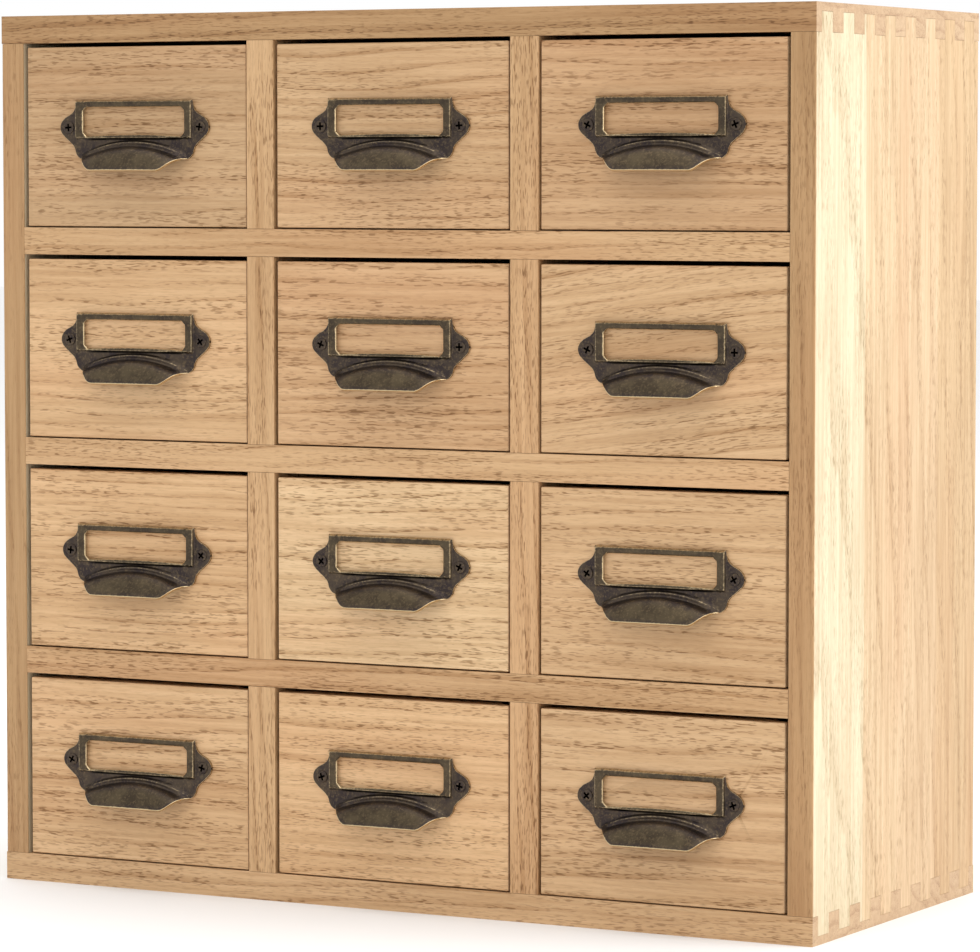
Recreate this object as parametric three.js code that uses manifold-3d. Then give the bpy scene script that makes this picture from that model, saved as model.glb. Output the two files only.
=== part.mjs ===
// Table-top card catalog cabinet: a finger-jointed case of twelve bays with twelve drawers.
// Millimetres. +X is right, +Y is back, +Z is up. The origin is the centre of the case's underside.
import * as THREE from 'three';
import { mergeVertices } from 'three/addons/utils/BufferGeometryUtils.js';
import Module from 'manifold-3d';

const wasm = await Module();
wasm.setup();

// Case
const CASE_WIDTH = 400;
const CASE_HEIGHT = 388;
const CASE_DEPTH = 170;
const COLUMNS = 3;
const ROWS = 4;
const BOARD = 12.2; // top, bottom and shelves
const SIDE = 11.5; // left and right boards
const DIVIDER = 13.5; // upright dividers
const GLUE_LINE = 0.1; // between two glued pieces, on each face of a joint

// Finger joints at the four corners of the case
const FINGER = 10.6;
const FRONT_FINGER = 5.4; // the first finger, on the top and bottom boards
const LEAST_REAR_FINGER = 3;
const FINGER_LIP = 3.8; // what the top and bottom boards keep over the ends of the sides' fingers

// Shelves and dividers
const HOUSING_DEPTH = 3; // how far a shelf's end goes into a side
const HOUSING_STOP = 9; // the housing starts this far behind the front edge

// Back panel, in a rebate round the back of the case
const BACK_PANEL = 4;
const REBATE = 6;
const PANEL_PLAY = 0.3;

// Drawers
const SIDE_PLAY = 1.3; // beside a drawer front that sits midway in its bay
const TOP_PLAY = 1.9;
const BOTTOM_PLAY = 0.5;
const COLUMN_SHIFT = [0.7, 0.3, -0.25]; // how far off midway each column's drawers sit
const FRONT_RECESS = 0.5; // drawer fronts lie this far behind the case's front edge
const REAR_PLAY = 4; // behind a closed drawer
const FRONT = 12; // drawer front's thickness
const BOX_WALL = 8;
const BOX_INSET = 0.6; // the box sides lie this far inside the ends of the front
const BOX_DROP = 6; // the box is this much lower than its front
const BOX_RUN = 0.3; // under the box, where it runs on the shelf
const LAP_DEPTH = 6; // the front's rebate that takes the box sides
const PLY = 3; // drawer bottom
const GROOVE_DEPTH = 4;
const GROOVE_HEIGHT = 5; // from the box's lower edge to the groove
const PLY_PLAY = 0.25;

// Pull: a stamped label frame over a finger cup. Heights run from the line of its two screws.
const SHEET = 1.2;
const PULL_RAISE = 4.1; // from the drawer's middle up to the screws
const FRAME_WIDTH = 61;
const FRAME_ABOVE = 12; // from the screws up to the frame's top
const FRAME_BELOW = 5.1; // and down to its lower edge
const FRAME_RISE = 2.6;
const FRAME_BAR_SIDE = 4.1;
const FRAME_BAR_TOP = 3.1;
const FRAME_BAR_BOTTOM = 1.2;
const WINDOW_CORNER = 1.7;
const CARD_LAP = 0.8; // the card's pocket runs this far past the window
const CARD_DEPTH = 1.4;
const LUG_REACH = 3.7; // from the frame's side out to the screw
const LUG_RADIUS = 4.6;
const LUG_SWEEP = 50 * Math.PI / 180;
const LUG_FLARE_TOP = 5; // where the lug's upper flare leaves the frame's side
const LUG_FLARE_BOTTOM = 10.4; // where its lower flare meets the cup's shoulder
const CUP_INSET = 2.9; // the cup's ends lie this far inside the frame's sides
const RIDGE_GAP = 1.5; // between the frame and the crown of the cup's ridge
const RIDGE_DROP = 6.4; // from the ridge's crown down to its ends
const RIDGE_RISE = 3;
const RIDGE_SLOPE = 1; // the plate starts to rise this far above the ridge
const PLATE_UNDER_RIDGE = 1.4; // the plate ends this far below the ridge, inside the cup
const LIP_RETURN = 10.7; // how far in from the cup's ends the lip turns straight
const LIP_LEVEL_END = 0.88; // the share of that over which the lip rises; the rest is level
const LIP_FULLNESS = 0.8; // below 1 the lip's ends bow out further
const LIP_DROP = 12.3; // from the ridge's crown down to the lip
const LIP_FOOT_DROP = 7.4; // and down to the lip's ends
const LIP_REACH = 11.5;
const CUP_SWELL = 0.9;
const CUP_SHEET = 1.1;
const CUP_SECTIONS = 12;
const CUP_STEPS = 3;

// Pull screws
const SCREW_HEAD_RADIUS = 2.7;
const SCREW_HEAD_RISE = 0.6;
const SCREW_RADIUS = 1.2;
const SCREW_REACH = 8; // into the drawer front
const SCREW_HOLE_PLAY = 0.3;

const CURVE_STEPS = 4; // straight pieces per curve; a full circle has twice as many

const HANDS = [-1, 1]; // left and right
const OVERSHOOT = 1; // how far a cut runs past the face it comes out of

const halfWidth = CASE_WIDTH / 2;
const halfDepth = CASE_DEPTH / 2;
const caseFront = -halfDepth;
const panelFront = halfDepth - BACK_PANEL;
const bayWidth = (CASE_WIDTH - 2 * SIDE - (COLUMNS - 1) * DIVIDER) / COLUMNS;
const bayHeight = (CASE_HEIGHT - (ROWS + 1) * BOARD) / ROWS;
const lapLine = (caseFront + panelFront) / 2; // shelves fill the laps in front of it, dividers behind

const wood = (color) => new THREE.MeshStandardMaterial({ color, roughness: 0.62, metalness: 0 });
const caseWood = wood('#c9a372');
const sideWood = wood('#f0d6a8');
const frontWood = wood('#cfa878');
const boxWood = wood('#dcbc90');
const plywood = wood('#d8b98c');
const bronze = new THREE.MeshStandardMaterial({ color: '#4a4034', roughness: 0.42, metalness: 0.9 });

// Solids

const boxBetween = (low, high) => {
  const box = new THREE.BoxGeometry();
  const corners = box.attributes.position;
  for (let corner = 0; corner < corners.count; corner += 1) {
    const ends = low.map((value, axis) => (corners.getComponent(corner, axis) < 0 ? value : high[axis]));
    corners.setXYZ(corner, ...ends);
  }
  return box;
};

const toSolid = (geometry) => {
  const bare = geometry.clone();
  bare.deleteAttribute('normal');
  bare.deleteAttribute('uv');
  const merged = mergeVertices(bare);
  return new wasm.Manifold(new wasm.Mesh({
    numProp: 3,
    vertProperties: new Float32Array(merged.attributes.position.array),
    triVerts: new Uint32Array(merged.index.array),
  }));
};

const toGeometry = (solid) => {
  const { vertProperties, triVerts } = solid.getMesh();
  const geometry = new THREE.BufferGeometry();
  geometry.setAttribute('position', new THREE.BufferAttribute(vertProperties, 3));
  geometry.setIndex(new THREE.BufferAttribute(triVerts, 1));
  geometry.computeVertexNormals();
  return geometry;
};

const cut = (solid, tools) => tools.reduce((rest, tool) => rest.subtract(toSolid(tool)), solid);
const join = (solid, extras) => extras.reduce((sum, extra) => sum.add(toSolid(extra)), solid);

const piece = (name, solid, material) => {
  const mesh = new THREE.Mesh(toGeometry(solid), material);
  mesh.name = name;
  return mesh;
};

// Turns a shape's y into z and its depth into -y, with no rounding.
const standing = new THREE.Matrix4().set(1, 0, 0, 0, 0, 0, -1, 0, 0, 1, 0, 0, 0, 0, 0, 1);

// A shape drawn in x and z, raised from `from` to `to` in front of the plane y = 0.
const raised = (shape, from, to) => {
  const options = { depth: to - from, bevelEnabled: false, curveSegments: CURVE_STEPS };
  const geometry = new THREE.ExtrudeGeometry(shape, options);
  geometry.translate(0, 0, from);
  return geometry.applyMatrix4(standing);
};

const rod = (x, radius, from, to) => {
  const shape = new THREE.Shape();
  shape.absarc(x, 0, radius, 0, 2 * Math.PI, false);
  return raised(shape, from, to);
};

// Case

const shelfBottom = (level) => level * (bayHeight + BOARD);
const dividerMiddle = (index) => -halfWidth + SIDE + (index + 1) * (bayWidth + DIVIDER) - DIVIDER / 2;
const shelfLevels = Array.from({ length: ROWS - 1 }, (_, index) => index + 1);
const dividerIndices = Array.from({ length: COLUMNS - 1 }, (_, index) => index);

const sideFingers = () => {
  const room = CASE_DEPTH - FRONT_FINGER - LEAST_REAR_FINGER + FINGER;
  const count = Math.floor(room / (2 * FINGER));
  return Array.from({ length: count }, (_, index) => {
    const start = caseFront + FRONT_FINGER + index * 2 * FINGER;
    return [start, start + FINGER];
  });
};

const rebateForPanel = () => boxBetween(
  [-halfWidth + SIDE - REBATE, panelFront, BOARD - REBATE],
  [halfWidth - SIDE + REBATE, halfDepth + OVERSHOOT, CASE_HEIGHT - BOARD + REBATE],
);

// A box with its x range given in either order, for pieces that come in left and right hands.
const handedBox = (xs, ys, zs) => boxBetween(
  [Math.min(...xs), ys[0], zs[0]],
  [Math.max(...xs), ys[1], zs[1]],
);

// A bottom or top board, notched at both ends for the sides' fingers.
const crossBoard = (low, high, notchLow, notchHigh) => {
  const notches = sideFingers().flatMap(([start, end]) => HANDS.map((hand) => handedBox(
    [hand * (halfWidth - SIDE - GLUE_LINE), hand * (halfWidth + OVERSHOOT)],
    [start - GLUE_LINE, end + GLUE_LINE],
    [notchLow, notchHigh],
  )));
  const board = toSolid(boxBetween([-halfWidth, caseFront, low], [halfWidth, halfDepth, high]));
  return cut(board, [...notches, rebateForPanel()]);
};

const bottomBoard = () => crossBoard(0, BOARD, FINGER_LIP - GLUE_LINE, BOARD + OVERSHOOT);

const topBoard = () => crossBoard(
  CASE_HEIGHT - BOARD,
  CASE_HEIGHT,
  CASE_HEIGHT - BOARD - OVERSHOOT,
  CASE_HEIGHT - FINGER_LIP + GLUE_LINE,
);

const housing = (level) => boxBetween(
  [-halfWidth + SIDE - HOUSING_DEPTH, caseFront + HOUSING_STOP, shelfBottom(level)],
  [halfWidth - SIDE + HOUSING_DEPTH, halfDepth, shelfBottom(level) + BOARD],
);

const sideBoard = (hand) => {
  const xs = [hand * (halfWidth - SIDE), hand * halfWidth];
  const zs = [BOARD + GLUE_LINE, CASE_HEIGHT - BOARD - GLUE_LINE];
  const body = toSolid(handedBox(xs, [caseFront, halfDepth], zs));
  const fingers = sideFingers().map((ys) => handedBox(xs, ys, [FINGER_LIP, CASE_HEIGHT - FINGER_LIP]));
  return cut(join(body, fingers), [...shelfLevels.map(housing), rebateForPanel()]);
};

const shelf = (level) => {
  const bottom = shelfBottom(level) + GLUE_LINE;
  const top = shelfBottom(level) + BOARD - GLUE_LINE;
  const reach = halfWidth - SIDE - GLUE_LINE;
  const rear = panelFront - GLUE_LINE;
  const tongueReach = reach + HOUSING_DEPTH;
  const middle = toSolid(boxBetween([-reach, caseFront, bottom], [reach, rear, top]));
  const ends = boxBetween(
    [-tongueReach, caseFront + HOUSING_STOP + GLUE_LINE, bottom],
    [tongueReach, rear, top],
  );
  const laps = dividerIndices.map((index) => boxBetween(
    [dividerMiddle(index) - DIVIDER / 2 - GLUE_LINE, lapLine, bottom - OVERSHOOT],
    [dividerMiddle(index) + DIVIDER / 2 + GLUE_LINE, halfDepth, top + OVERSHOOT],
  ));
  return cut(join(middle, [ends]), laps);
};

const divider = (index) => {
  const left = dividerMiddle(index) - DIVIDER / 2;
  const board = toSolid(boxBetween(
    [left, caseFront, BOARD + GLUE_LINE],
    [left + DIVIDER, panelFront - GLUE_LINE, CASE_HEIGHT - BOARD - GLUE_LINE],
  ));
  const laps = shelfLevels.map((level) => boxBetween(
    [left - OVERSHOOT, caseFront - OVERSHOOT, shelfBottom(level)],
    [left + DIVIDER + OVERSHOOT, lapLine + GLUE_LINE, shelfBottom(level) + BOARD],
  ));
  return cut(board, laps);
};

const backPanel = () => toSolid(boxBetween(
  [-halfWidth + SIDE - REBATE + PANEL_PLAY, panelFront, BOARD - REBATE + PANEL_PLAY],
  [halfWidth - SIDE + REBATE - PANEL_PLAY, halfDepth, CASE_HEIGHT - BOARD + REBATE - PANEL_PLAY],
));

// Drawer, drawn with its front face on y = 0, its middle on x = 0 and its shelf on z = 0.

const frontHalf = bayWidth / 2 - SIDE_PLAY;
const frontTop = bayHeight - TOP_PLAY;
const boxHalf = frontHalf - BOX_INSET;
const boxTop = frontTop - BOX_DROP;
const boxFront = FRONT - LAP_DEPTH;
const boxRear = panelFront - caseFront - FRONT_RECESS - REAR_PLAY;
const grooveBottom = BOX_RUN + GROOVE_HEIGHT;
const grooveTop = grooveBottom + PLY + 2 * PLY_PLAY;
const frameHalf = FRAME_WIDTH / 2;
const screwOffset = frameHalf + LUG_REACH;
const pullHeight = (BOTTOM_PLAY + frontTop) / 2 + PULL_RAISE;

// The groove that takes the drawer bottom, starting at y and reaching into the three box walls.
const bottomGroove = (y) => boxBetween(
  [-boxHalf + BOX_WALL - GROOVE_DEPTH, y, grooveBottom],
  [boxHalf - BOX_WALL + GROOVE_DEPTH, boxRear - BOX_WALL + GROOVE_DEPTH, grooveTop],
);

const drawerFront = () => {
  const board = toSolid(boxBetween([-frontHalf, 0, BOTTOM_PLAY], [frontHalf, FRONT, frontTop]));
  const lap = boxHalf - BOX_WALL - GLUE_LINE;
  const rebates = HANDS.map((hand) => handedBox(
    [hand * lap, hand * (frontHalf + OVERSHOOT)],
    [boxFront - GLUE_LINE, FRONT + OVERSHOOT],
    [0, bayHeight],
  ));
  const holes = HANDS.map((hand) => {
    const radius = SCREW_RADIUS + SCREW_HOLE_PLAY;
    return rod(hand * screwOffset, radius, -SCREW_REACH - OVERSHOOT, OVERSHOOT).translate(0, 0, pullHeight);
  });
  return cut(board, [...rebates, ...holes, bottomGroove(FRONT - GROOVE_DEPTH)]);
};

const drawerBox = () => {
  const block = toSolid(boxBetween([-boxHalf, boxFront, BOX_RUN], [boxHalf, boxRear, boxTop]));
  const inside = boxBetween(
    [-boxHalf + BOX_WALL, boxFront - OVERSHOOT, 0],
    [boxHalf - BOX_WALL, boxRear - BOX_WALL, bayHeight],
  );
  return cut(block, [inside, bottomGroove(boxFront - OVERSHOOT)]);
};

const drawerBottom = () => {
  const halfSpan = boxHalf - BOX_WALL + GROOVE_DEPTH - PLY_PLAY;
  return toSolid(boxBetween(
    [-halfSpan, FRONT - GROOVE_DEPTH + PLY_PLAY, grooveBottom + PLY_PLAY],
    [halfSpan, boxRear - BOX_WALL + GROOVE_DEPTH - PLY_PLAY, grooveBottom + PLY_PLAY + PLY],
  ));
};

// Pull, drawn with its back on y = 0 and its screws on z = 0.

const cupHalf = frameHalf - CUP_INSET;
const lipHalf = cupHalf - LIP_RETURN;
const ridgeCrown = -FRAME_BELOW - RIDGE_GAP;
const ridgeFoot = ridgeCrown - RIDGE_DROP;
const ridgeRadius = (cupHalf ** 2 + RIDGE_DROP ** 2) / (2 * RIDGE_DROP);
const ridgeHeight = (x) => ridgeCrown - ridgeRadius + Math.sqrt(ridgeRadius ** 2 - x ** 2);

// The right half of the plate's outline, from the frame's top corner down to the cup's end.
const rightFlank = (shape) => {
  const lugX = screwOffset + LUG_RADIUS * Math.cos(LUG_SWEEP);
  const lugZ = LUG_RADIUS * Math.sin(LUG_SWEEP);
  const ease = LUG_REACH * 0.7;
  shape.lineTo(frameHalf, FRAME_ABOVE);
  shape.bezierCurveTo(frameHalf, LUG_FLARE_TOP, lugX - ease, lugZ + ease, lugX, lugZ);
  shape.absarc(screwOffset, 0, LUG_RADIUS, LUG_SWEEP, -LUG_SWEEP, true);
  const shoulder = -LUG_FLARE_BOTTOM;
  shape.bezierCurveTo(lugX - ease, -lugZ - ease, frameHalf, shoulder + ease, frameHalf, shoulder);
  shape.quadraticCurveTo(frameHalf, ridgeFoot, cupHalf, ridgeFoot - PLATE_UNDER_RIDGE);
  return shape;
};

const plateShape = () => {
  const flank = rightFlank(new THREE.Shape([new THREE.Vector2(0, FRAME_ABOVE)]));
  const right = flank.getPoints(CURVE_STEPS);
  const under = Array.from({ length: CUP_SECTIONS / 2 - 1 }, (_, step) => {
    const x = cupHalf * (1 - 2 * (step + 1) / CUP_SECTIONS);
    return new THREE.Vector2(x, ridgeHeight(x) - PLATE_UNDER_RIDGE);
  });
  const half = [...right.slice(1), ...under];
  const mirrored = half.map((point) => new THREE.Vector2(-point.x, point.y)).reverse();
  return new THREE.Shape([...half, new THREE.Vector2(0, ridgeCrown - PLATE_UNDER_RIDGE), ...mirrored]);
};

// A rectangle with its corners cut off at 45 degrees.
const clippedRectangle = (half, bottom, top, corner) => {
  const right = [
    [half - corner, bottom], [half, bottom + corner], [half, top - corner], [half - corner, top],
  ];
  const left = right.map(([x, z]) => [-x, z]).reverse();
  return new THREE.Shape([...right, ...left].map(([x, z]) => new THREE.Vector2(x, z)));
};

const smooth = (share) => share * share * (3 - 2 * share);

// The lip is straight in the middle. At both ends it bows back to the plate and rises in a flat S.
const lipPoint = (x) => {
  const share = Math.min(1, Math.max(0, (Math.abs(x) - lipHalf) / LIP_RETURN));
  const bow = Math.max(0, Math.cos(Math.PI / 2 * share)) ** LIP_FULLNESS;
  const rise = smooth(Math.min(1, share / LIP_LEVEL_END));
  return {
    reach: SHEET + (LIP_REACH - SHEET) * bow,
    height: ridgeCrown - LIP_DROP + (LIP_DROP - LIP_FOOT_DROP) * rise,
  };
};

// Points of the cup's outer skin from its ridge to its lip, in the plane at x.
const cupProfile = (x) => {
  const ridge = ridgeHeight(x);
  const lip = lipPoint(x);
  const openness = Math.min(1, (lip.reach - SHEET) / (RIDGE_RISE - SHEET));
  const ridgeReach = SHEET + (RIDGE_RISE - SHEET) * openness;
  return Array.from({ length: CUP_STEPS + 1 }, (_, step) => {
    const share = step / CUP_STEPS;
    const swell = CUP_SWELL * openness * Math.sin(Math.PI * share);
    return {
      reach: ridgeReach + (lip.reach - ridgeReach) * share + swell,
      height: ridge + (lip.height - ridge) * share + swell,
    };
  });
};

// One section of the cup's bent sheet. Both its skins start inside the plate, beside the ridge.
const cupSection = (x) => {
  const outer = cupProfile(x);
  const inner = outer.map(({ reach, height }) => ({
    reach: Math.max(reach - CUP_SHEET, 0),
    height: height - CUP_SHEET / 2,
  })).reverse();
  const above = { reach: SHEET / 2, height: ridgeHeight(x) + RIDGE_SLOPE };
  const below = { reach: SHEET / 2, height: ridgeHeight(x) - PLATE_UNDER_RIDGE / 2 };
  return [above, ...outer, ...inner, below];
};

const cupShell = () => {
  const stations = Array.from({ length: CUP_SECTIONS + 1 }, (_, index) => (
    cupHalf * (2 * index / CUP_SECTIONS - 1)
  ));
  const sections = stations.map(cupSection);
  const around = sections[0].length;
  const index = [];
  for (let section = 0; section < CUP_SECTIONS; section += 1) {
    for (let step = 0; step < around; step += 1) {
      const next = (step + 1) % around;
      const a = section * around + step;
      const b = section * around + next;
      index.push(a, b, a + around, b, b + around, a + around);
    }
  }
  const endOutline = sections[0].map(({ reach, height }) => new THREE.Vector2(reach, height));
  const last = CUP_SECTIONS * around;
  THREE.ShapeUtils.triangulateShape(endOutline, []).forEach(([a, b, c]) => {
    index.push(a, b, c, last + a, last + c, last + b);
  });
  const points = sections.flatMap((section, number) => (
    section.flatMap(({ reach, height }) => [stations[number], -reach, height])
  ));
  const geometry = new THREE.BufferGeometry();
  geometry.setAttribute('position', new THREE.Float32BufferAttribute(points, 3));
  geometry.setIndex(index);
  return geometry;
};

const screws = () => HANDS.flatMap((hand) => [
  rod(hand * screwOffset, SCREW_HEAD_RADIUS, SHEET / 2, SHEET + SCREW_HEAD_RISE),
  rod(hand * screwOffset, SCREW_RADIUS, -SCREW_REACH, SHEET),
]);

// The frame as a block, the window through it and the pocket for the card behind the window.
const frameBlock = () => boxBetween([-frameHalf, -FRAME_RISE, -FRAME_BELOW], [frameHalf, 0, FRAME_ABOVE]);

const windowCuts = () => {
  const half = frameHalf - FRAME_BAR_SIDE;
  const bottom = FRAME_BAR_BOTTOM - FRAME_BELOW;
  const top = FRAME_ABOVE - FRAME_BAR_TOP;
  const window = clippedRectangle(half, bottom, top, WINDOW_CORNER);
  const pocket = boxBetween(
    [-half - CARD_LAP, -CARD_DEPTH, bottom - CARD_LAP],
    [half + CARD_LAP, OVERSHOOT, top + CARD_LAP],
  );
  return [raised(window, -OVERSHOOT, FRAME_RISE + OVERSHOOT), pocket];
};

const pull = () => {
  const plate = toSolid(raised(plateShape(), 0, SHEET));
  const stamped = cut(join(plate, [frameBlock()]), windowCuts());
  return join(stamped, [cupShell(), ...screws()]);
};

// Assembly

const cabinet = new THREE.Group();
cabinet.add(
  piece('top_board', topBoard(), caseWood),
  piece('bottom_board', bottomBoard(), caseWood),
  piece('left_side', sideBoard(-1), sideWood),
  piece('right_side', sideBoard(1), sideWood),
  ...shelfLevels.map((level) => piece(`shelf_${level}`, shelf(level), caseWood)),
  ...dividerIndices.map((index) => piece(`divider_${index + 1}`, divider(index), caseWood)),
  piece('back_panel', backPanel(), plywood),
);

for (let row = 0; row < ROWS; row += 1) {
  for (let column = 0; column < COLUMNS; column += 1) {
    const place = `r${row + 1}c${column + 1}`;
    const drawer = new THREE.Group();
    const bayMiddle = -halfWidth + SIDE + bayWidth / 2 + column * (bayWidth + DIVIDER);
    const shelfTop = BOARD + (ROWS - 1 - row) * (bayHeight + BOARD);
    drawer.position.set(bayMiddle + (COLUMN_SHIFT[column] ?? 0), caseFront + FRONT_RECESS, shelfTop);
    const handle = piece(`pull_${place}`, pull(), bronze);
    handle.position.z = pullHeight;
    drawer.add(
      piece(`drawer_front_${place}`, drawerFront(), frontWood),
      piece(`drawer_box_${place}`, drawerBox(), boxWood),
      piece(`drawer_bottom_${place}`, drawerBottom(), plywood),
      handle,
    );
    cabinet.add(drawer);
  }
}

export default cabinet;
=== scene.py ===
# Looks of a table-top card catalog cabinet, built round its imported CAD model.
# Metres. +X is right, +Y is back, +Z is up. The origin is the centre of the case's underside.
import math
import random

import bmesh
import bpy
from mathutils import Matrix, Vector


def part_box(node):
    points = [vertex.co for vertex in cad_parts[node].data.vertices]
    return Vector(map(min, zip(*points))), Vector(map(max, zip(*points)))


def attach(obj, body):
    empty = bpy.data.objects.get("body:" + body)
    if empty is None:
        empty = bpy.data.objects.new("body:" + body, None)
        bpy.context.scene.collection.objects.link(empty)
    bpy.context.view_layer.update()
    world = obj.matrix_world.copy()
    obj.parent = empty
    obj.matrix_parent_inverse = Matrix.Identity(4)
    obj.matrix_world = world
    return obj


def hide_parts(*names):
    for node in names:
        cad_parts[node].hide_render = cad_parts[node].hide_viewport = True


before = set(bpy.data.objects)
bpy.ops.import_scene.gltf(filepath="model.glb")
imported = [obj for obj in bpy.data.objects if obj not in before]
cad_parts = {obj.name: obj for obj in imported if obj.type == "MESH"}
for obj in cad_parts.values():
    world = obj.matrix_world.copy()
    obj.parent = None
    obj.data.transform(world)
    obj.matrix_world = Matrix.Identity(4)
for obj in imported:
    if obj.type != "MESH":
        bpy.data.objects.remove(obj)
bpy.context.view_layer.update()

MM = 0.001
COLUMNS = 3
ROWS = 4
HANDS = (-1, 1)
PLACES = [f"r{row + 1}c{column + 1}" for row in range(ROWS) for column in range(COLUMNS)]

# Eased arrises
CASE_EASE = 0.9 * MM
FRONT_EASE = 0.55 * MM
INNER_EASE = 0.22 * MM
EASE_STEPS = 3
ON_PLANE = 0.01 * MM
WELD = 0.002 * MM
FLAT_ANGLE = math.radians(0.5)

# Drawer boxes and brads
BOX_WALL = 8 * MM
LAP_DEPTH = 6 * MM
BRAD_RADIUS = 0.9 * MM
BRAD_DEPTH = 0.5 * MM
BRAD_PROUD = 0.04 * MM
BRAD_SUNK = 0.15 * MM
BRAD_HOLE_DEPTH = 1.2 * MM
BRAD_INSET = 3 * MM
BRAD_GAPS_ACROSS = 6
BRAD_GAPS_UP = 7

# Pull, in millimetres from the middle of its screw line
SHEET = 1.1
STAND_OFF = 0.1
PULL_RAISE = 4.1
FRAME_HALF = 30.5
FRAME_TOP = 12
FRAME_BOTTOM = -5.1
FRAME_HEIGHT = 2.6
UNDER_FRAME = 0.3
FRAME_FILLET = 0.6
WINDOW_HALF = 26.4
WINDOW_TOP = 8.9
WINDOW_BOTTOM = -3.9
WINDOW_CLIP = 1.7
WINDOW_ARCH = 0.7
WINDOW_ROUND = 0.7
LUG_CENTRE = 34.2
LUG_RADIUS = 4.6
LUG_SWEEP = math.radians(50)
FLARE = 2.6
FLARE_TOP = 5.0
SHOULDER = -10.4
CUP_HALF = 27.6
LIP_HALF = 16.9
RIDGE_CROWN = -6.6
RIDGE_DROP = 6.4
RIDGE_HEIGHT = 2.7
SHOULDER_SPREAD = 0.4
LIP_DROP = 12.3
LIP_FOOT_DROP = 7.4
LIP_REACH = 11.5
LIP_LEVEL_END = 0.88
LIP_FULLNESS = 0.8
VALLEY = 2.6
CUP_SWELL = 0.9
GROOVE_DEPTH = 1.7
GROOVE_DROP = 1.5
GROOVE_SPREAD = 0.9

# The pull's mesh: rows between its main lines, and where the window's lines turn into even ones
ROWS_BETWEEN = (12, 7, 6, 5, 12, 5)
BLEND_FROM = 21.5
BLEND_TO = 31.5
LEAST_RISE = 0.02

# Screws, in millimetres
HEAD_RADIUS = 2.7
HEAD_SEAT = 1.25
HEAD_RISE = 1.8
HEAD_SIDES = 32
HEAD_SUNK = 0.5
HEAD_RIM = 0.12
HEAD_ROUND = 0.18
CROSS_BURR = 0.08
CROSS_REACH = 1.7
CROSS_HALF = 0.45
CROSS_DEPTH = 0.5


# Scene

def place_camera():
    camera = bpy.data.objects.new("camera", bpy.data.cameras.new("camera"))
    bpy.context.scene.collection.objects.link(camera)
    azimuth = math.radians(28.61)
    pitch = math.radians(3.69)
    forward = Vector((
        -math.sin(azimuth) * math.cos(pitch),
        math.cos(azimuth) * math.cos(pitch),
        -math.sin(pitch),
    ))
    camera.location = (1.00767, -1.84310, 0.31902)
    camera.rotation_euler = forward.to_track_quat("-Z", "Y").to_euler()
    camera.data.sensor_fit = "HORIZONTAL"
    camera.data.sensor_width = 36
    camera.data.lens = 173.65
    camera.data.clip_start = 0.05
    camera.data.clip_end = 60
    bpy.context.scene.camera = camera


def area_light(name, place, target, size, watts, colour):
    data = bpy.data.lights.new(name, "AREA")
    data.shape = "RECTANGLE"
    data.size, data.size_y = size
    data.energy = watts
    data.color = colour
    light = bpy.data.objects.new(name, data)
    light.location = place
    light.rotation_euler = (Vector(target) - Vector(place)).to_track_quat("-Z", "Y").to_euler()
    bpy.context.scene.collection.objects.link(light)


def light_scene():
    area_light("right_softbox", (2.0, 0.25, 0.75), (0.2, 0.05, 0.2), (1.4, 1.4), 22, (1.0, 0.985, 0.96))
    area_light("overhead", (0.1, 0.1, 2.6), (0, 0, 0), (3.0, 3.0), 36, (1.0, 1.0, 1.0))
    world = bpy.data.worlds.new("studio")
    world.use_nodes = True
    background = world.node_tree.nodes["Background"]
    background.inputs["Color"].default_value = (1.0, 1.0, 1.0, 1.0)
    background.inputs["Strength"].default_value = 1.0
    bpy.context.scene.world = world
    bpy.context.scene.view_settings.view_transform = "Standard"


def lay_floor():
    mesh = bpy.data.meshes.new("floor")
    reach = 9.0
    corners = [(-reach, -reach, 0), (reach, -reach, 0), (reach, reach, 0), (-reach, reach, 0)]
    mesh.from_pydata(corners, [], [(0, 1, 2, 3)])
    floor = bpy.data.objects.new("floor", mesh)
    bpy.context.scene.collection.objects.link(floor)
    shader = Shader("pale_floor")
    haze = shader.noise(shader.object_coordinates(), 3.0, 2.0)
    shader.colour(shader.mix(haze, (0.89, 0.89, 0.89), (0.92, 0.92, 0.92)))
    shader.rough(0.9)
    floor.data.materials.append(shader.material)


# Materials

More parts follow.
